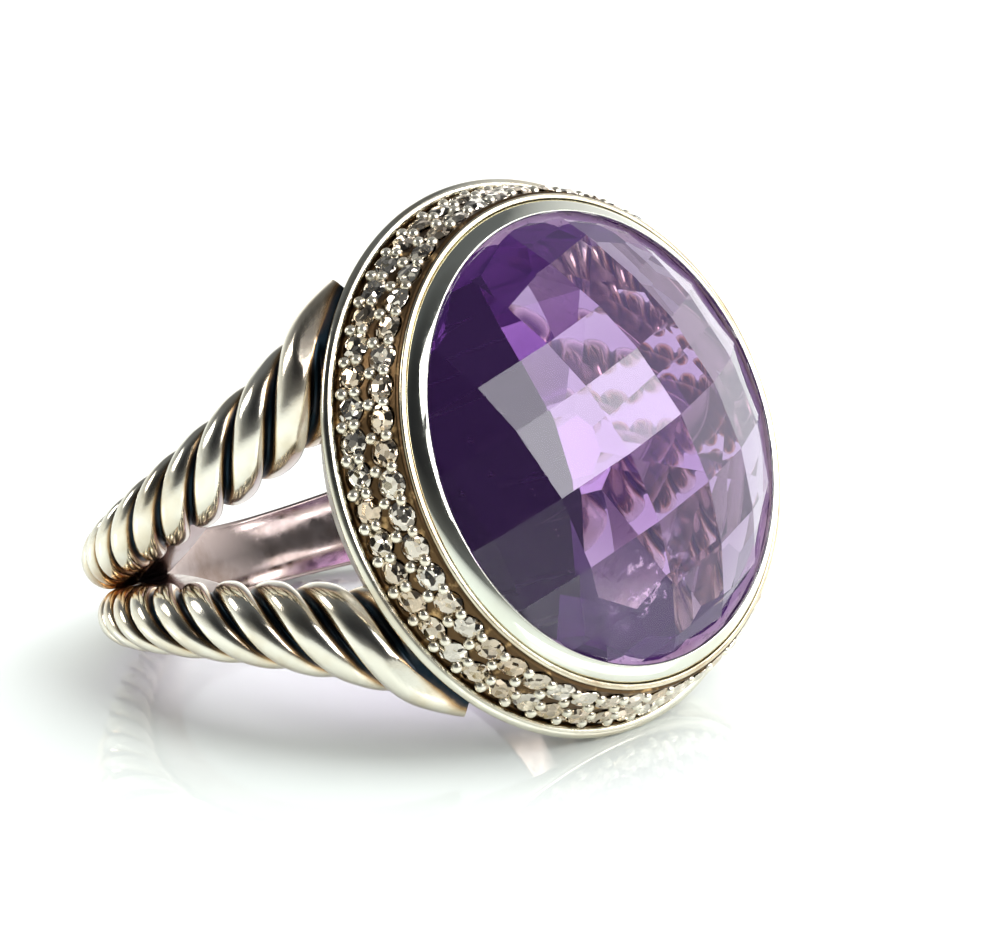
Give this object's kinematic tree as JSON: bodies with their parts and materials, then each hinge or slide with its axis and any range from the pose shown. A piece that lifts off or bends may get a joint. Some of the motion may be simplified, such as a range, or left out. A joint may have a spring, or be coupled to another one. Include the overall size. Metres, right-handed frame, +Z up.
{
  "type": "cocktail ring",
  "caption": "Cocktail ring with a large round checkerboard gemstone in a bezel, a sloping pave halo and a split shank of twisted cables.",
  "frame": {"origin": "centre of the ring's footprint where it rests on a table, at table height", "axes": "+Z up, +X towards the head and the gemstone, Y across the shank; the finger axis leans back 24.2 degrees from +Z in the XZ plane"},
  "size_m": [0.0247, 0.0246, 0.0183],
  "materials": {
    "amethyst": "polished facets",
    "bezel_silver": "bright polished sterling silver",
    "collar_silver": "polished silver, slightly tarnished",
    "inner_silver": "smooth silver, slightly oxidised",
    "oxidised_band": "oxidised silver with a bronze tone",
    "pave_stone": "brilliant cut",
    "bead_silver": "polished grains",
    "cable_silver": "polished ridges, black oxidised grooves",
    "liner_silver": "polished sterling silver"
  },
  "bodies": {
    "root": {"amethyst": "amethyst", "bezel_wall": "bezel_silver", "bezel_collar": "collar_silver", "bezel_seat": "inner_silver", "pave_band": "oxidised_band", "gutter_ring": "oxidised_band", "rim_wire": "bezel_silver", "head_plate": "inner_silver", "gallery": "inner_silver", "pave_stones_lower": "pave_stone", "pave_stones_upper": "pave_stone", "beads_edge": "bead_silver", "beads_lower": "bead_silver", "beads_middle": "bead_silver", "beads_upper": "bead_silver", "cable_upper": "cable_silver", "cable_lower": "cable_silver", "liner_upper": "liner_silver", "liner_lower": "liner_silver"}
  },
  "joints": []
}
